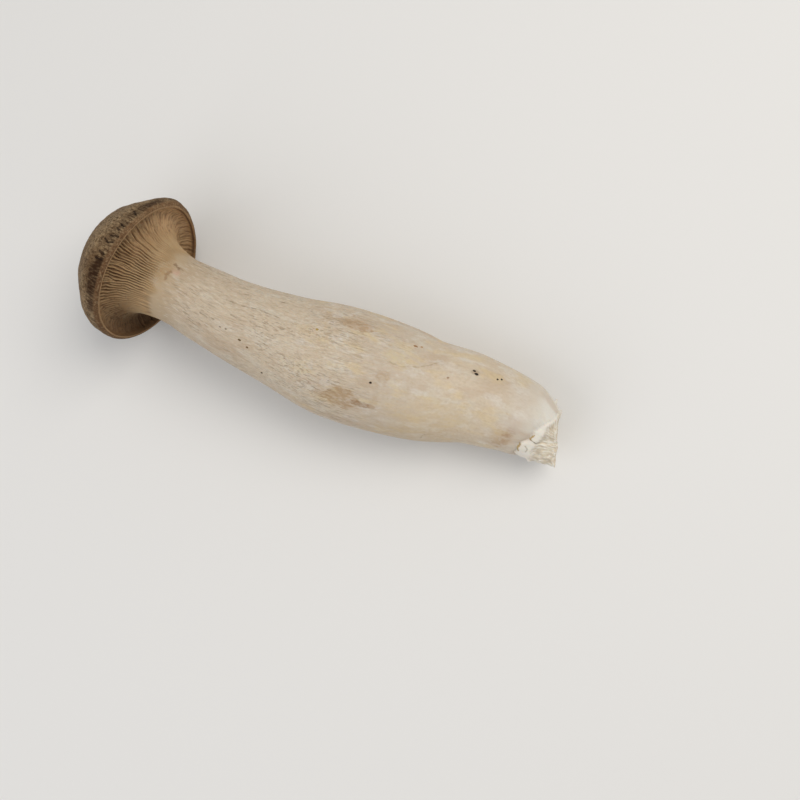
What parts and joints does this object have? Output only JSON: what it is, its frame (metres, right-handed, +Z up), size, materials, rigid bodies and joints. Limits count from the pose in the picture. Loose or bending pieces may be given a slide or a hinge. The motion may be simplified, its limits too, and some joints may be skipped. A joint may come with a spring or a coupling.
{
  "type": "king oyster mushroom",
  "caption": "Whole king oyster mushroom lying on its side: domed brown cap with gills, thick pale stem and a torn base.",
  "frame": {"origin": "on the surface that the mushroom lies on, under the middle of its bounding box", "axes": "+X along the stem from the cap towards the torn base, +Z up from the surface, +Y to the left of someone who looks along +X"},
  "size_m": [0.1726, 0.0552, 0.0514],
  "materials": {
    "mushroom_flesh": "matt, slightly waxy raw mushroom flesh, taupe on the cap"
  },
  "bodies": {
    "root": {"mushroom": "mushroom_flesh"}
  },
  "joints": []
}
